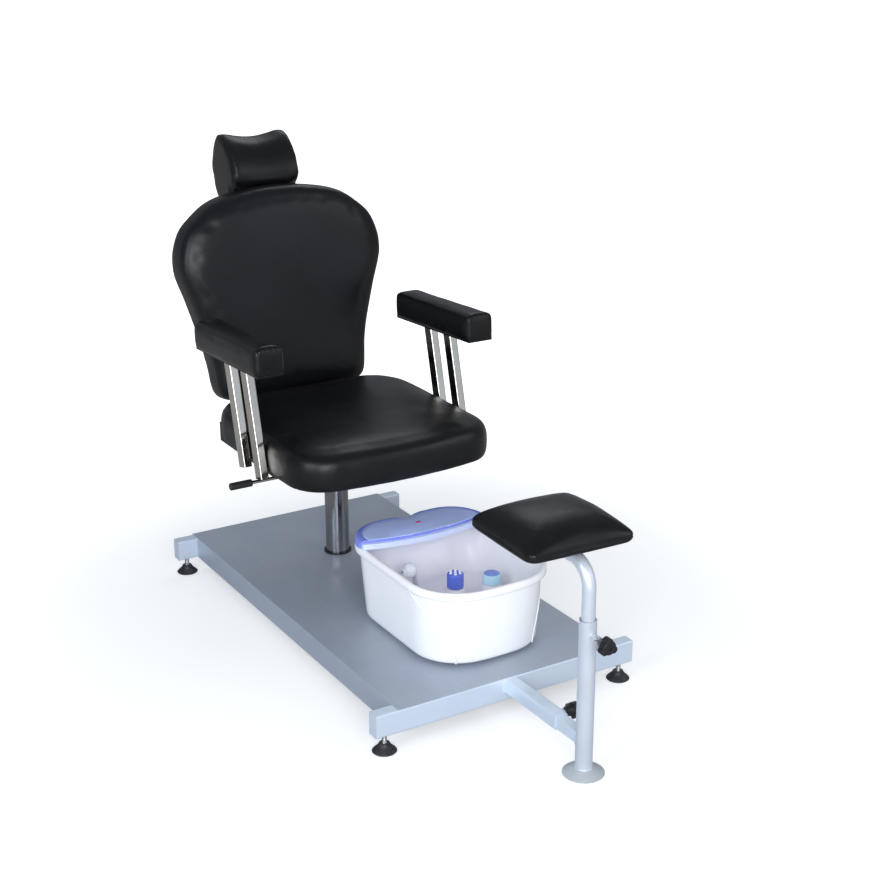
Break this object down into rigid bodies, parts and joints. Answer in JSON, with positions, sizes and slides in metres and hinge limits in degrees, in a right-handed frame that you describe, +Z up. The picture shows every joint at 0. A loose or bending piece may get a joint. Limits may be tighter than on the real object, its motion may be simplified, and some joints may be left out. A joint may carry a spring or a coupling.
{
  "type": "pedicure bench",
  "caption": "Pedicure bench: swivel armchair with headrest on a gas lift, on a low platform with a foot bath and an adjustable cushioned footrest.",
  "frame": {"origin": "on the floor, at the middle of the overall bounding box", "axes": "+Z up, +Y from the footrest towards the back of the chair, +X to the sitter's left"},
  "size_m": [0.62, 1.5298, 1.0401],
  "materials": {
    "base_powder_coat": "satin",
    "chrome": "polished",
    "steel": "satin",
    "black_leatherette": "satin",
    "plywood": "matt",
    "black_rubber": "matt",
    "black_plastic": "satin",
    "grey_plastic": "satin",
    "white_plastic": "glossy",
    "periwinkle_plastic": "glossy",
    "light_blue_plastic": "glossy",
    "dark_blue_plastic": "glossy",
    "red_lens": "glossy"
  },
  "bodies": {
    "base": {"front_beam": "base_powder_coat", "rear_beam": "base_powder_coat", "beam_end_caps": "grey_plastic", "side_rails": "base_powder_coat", "column_mount": "base_powder_coat", "deck_sheet": "base_powder_coat", "column_stand_tube": "chrome", "column_base_ring": "black_plastic", "column_guide_bush": "grey_plastic", "footrest_socket": "base_powder_coat", "leveller_nuts": "steel"},
    "leveller_front_left": {"leveller_front_left": "black_rubber"},
    "leveller_front_right": {"leveller_front_right": "black_rubber"},
    "leveller_rear_left": {"leveller_rear_left": "black_rubber"},
    "leveller_rear_right": {"leveller_rear_right": "black_rubber"},
    "lift_rod": {"piston_rod": "steel", "column_thrust_bearing": "steel"},
    "chair": {"gas_cylinder": "black_plastic", "seat_plate": "steel", "seat_frame": "plywood", "seat_cushion": "black_leatherette", "back_brackets": "steel", "back_board": "plywood", "back_cushion": "black_leatherette", "chair_screws": "steel", "right_arm_frame": "chrome", "left_arm_frame": "chrome", "arm_boards": "plywood", "right_arm_pad": "black_leatherette", "left_arm_pad": "black_leatherette", "arm_bolts": "steel", "headrest_guide": "steel"},
    "lever": {"lift_lever": "chrome", "lever_grip": "black_plastic"},
    "release_pin": {"gas_release_pin": "steel"},
    "headrest": {"headrest_post": "steel", "headrest_board": "plywood", "headrest_cushion": "black_leatherette"},
    "footrest_carriage": {"footrest_slide_bar": "base_powder_coat", "footrest_sleeve": "base_powder_coat", "footrest_floor_flange": "base_powder_coat"},
    "mast_plug": {"mast_plug": "grey_plastic"},
    "footrest": {"footrest_mast": "base_powder_coat", "footrest_board": "plywood", "footrest_cushion": "black_leatherette"},
    "height_clamp": {"height_knob": "black_plastic", "height_knob_screw": "steel"},
    "reach_clamp": {"reach_knob": "black_plastic", "reach_knob_screw": "steel"},
    "foot_bath": {"bath_shell": "white_plastic", "bath_basin": "white_plastic", "bath_cover": "periwinkle_plastic", "bath_fascia": "light_blue_plastic", "bath_lamp": "red_lens", "bath_feet": "black_rubber", "bath_cord_gland": "black_plastic"},
    "bath_roller": {"bath_roller": "white_plastic"},
    "bath_nodule_head": {"bath_nodule_head": "dark_blue_plastic"},
    "bath_round_cap": {"bath_round_cap": "light_blue_plastic"}
  },
  "joints": [
    {"name": "levelling_screw_front_right", "type": "hinge", "parent": "base", "child": "leveller_front_right", "pos_m": [-0.285, -0.42907, 0.03], "axis": [0, 0, 1], "continuous": true},
    {"name": "levelling_screw_front_left", "type": "hinge", "parent": "base", "child": "leveller_front_left", "pos_m": [0.285, -0.42907, 0.03], "axis": [0, 0, 1], "continuous": true},
    {"name": "levelling_screw_rear_right", "type": "hinge", "parent": "base", "child": "leveller_rear_right", "pos_m": [-0.285, 0.56893, 0.03], "axis": [0, 0, 1], "continuous": true},
    {"name": "levelling_screw_rear_left", "type": "hinge", "parent": "base", "child": "leveller_rear_left", "pos_m": [0.285, 0.56893, 0.03], "axis": [0, 0, 1], "continuous": true},
    {"name": "seat_swivel", "type": "hinge", "parent": "base", "child": "lift_rod", "pos_m": [0, 0.30862, 0.1], "axis": [0, 0, 1], "continuous": true},
    {"name": "seat_lift", "type": "slide", "parent": "lift_rod", "child": "chair", "axis": [0, 0, 1], "range_m": [0, 0.12]},
    {"name": "lever_lift", "type": "hinge", "parent": "chair", "child": "lever", "pos_m": [-0.032, 0.22393, 0.3415], "axis": [0, 1, 0], "range_deg": [0, 6], "stiffness_Nm_per_rad": 6, "springref_deg": -4.58},
    {"name": "pin_press", "type": "slide", "parent": "chair", "child": "release_pin", "axis": [0, 0, -1], "range_m": [0, 0.0034], "stiffness_N_per_m": 1500, "springref_m": -0.001},
    {"name": "headrest_height", "type": "slide", "parent": "chair", "child": "headrest", "axis": [0, 0.1191, 0.9929], "range_m": [0, 0.08]},
    {"name": "footrest_reach", "type": "slide", "parent": "base", "child": "footrest_carriage", "axis": [0, -1, 0], "range_m": [-0.05, 0.06]},
    {"name": "footrest_height", "type": "slide", "parent": "footrest_carriage", "child": "mast_plug", "axis": [0, 0, 1], "range_m": [-0.045, 0.1]},
    {"name": "footrest_swivel", "type": "hinge", "parent": "mast_plug", "child": "footrest", "pos_m": [0, -0.69607, 0.17], "axis": [0, 0, 1], "continuous": true},
    {"name": "height_knob_turn", "type": "hinge", "parent": "footrest_carriage", "child": "height_clamp", "pos_m": [0, -0.72608, 0.2925], "axis": [0, -1, 0], "range_deg": [0, 360]},
    {"name": "reach_knob_turn", "type": "hinge", "parent": "base", "child": "reach_clamp", "pos_m": [0.03, -0.59208, 0.0725], "axis": [1, 0, 0], "range_deg": [0, 360]},
    {"name": "bath_slide", "type": "slide", "parent": "base", "child": "foot_bath", "axis": [0, 1, 0], "range_m": [-0.05, 0.15]},
    {"name": "roller_spin", "type": "hinge", "parent": "foot_bath", "child": "bath_roller", "pos_m": [-0.0435, -0.11307, 0.2075], "axis": [1, 0, 0], "continuous": true},
    {"name": "nodule_head_spin", "type": "hinge", "parent": "foot_bath", "child": "bath_nodule_head", "pos_m": [0.0225, -0.19407, 0.1835], "axis": [0, 0, 1], "continuous": true},
    {"name": "round_cap_spin", "type": "hinge", "parent": "foot_bath", "child": "bath_round_cap", "pos_m": [0.1015, -0.21507, 0.1835], "axis": [0, 0, 1], "continuous": true}
  ],
  "couplings": [
    {"joint": "pin_press", "follows": "lever_lift", "m_per_rad": 0.032}
  ]
}
